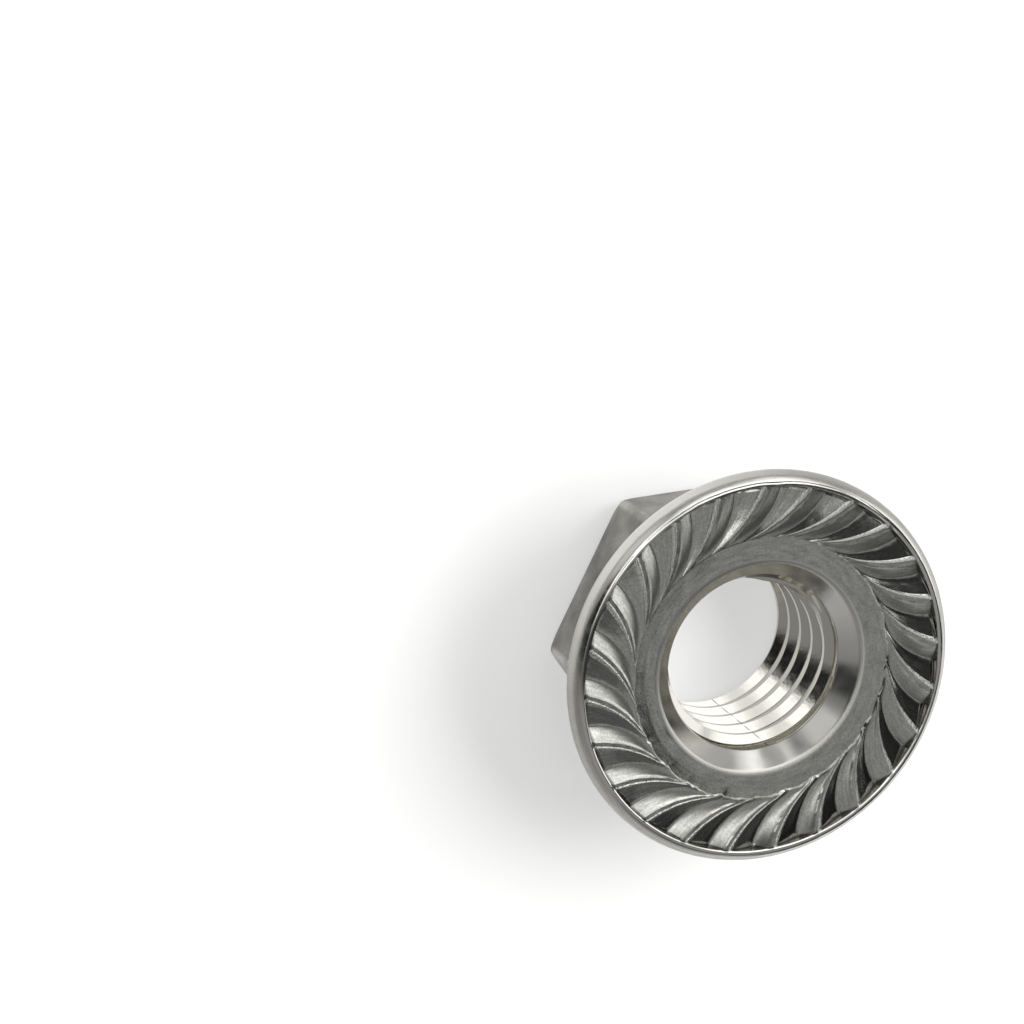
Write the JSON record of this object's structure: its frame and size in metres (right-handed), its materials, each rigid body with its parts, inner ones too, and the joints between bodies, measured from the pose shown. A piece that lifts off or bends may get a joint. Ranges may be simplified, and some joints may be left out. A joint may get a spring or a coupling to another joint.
{
  "type": "serrated flange nut",
  "caption": "Hexagon nut with a round flange whose dished bearing face carries a ring of swept locking serrations round a countersunk threaded hole.",
  "frame": {"origin": "centre of the flat end of the hexagon, the face that the nut stands on", "axes": "+Z along the thread axis, from the hexagon's end to the serrated bearing face; +X through a corner of the hexagon; +Y square to one pair of flats"},
  "size_m": [0.0178, 0.0178, 0.008],
  "materials": {
    "stainless_steel": "cold formed stainless steel, tumbled to a satin shine, bright on the rolled rim and in the countersinks"
  },
  "bodies": {
    "root": {"flange_nut": "stainless_steel"}
  },
  "joints": []
}
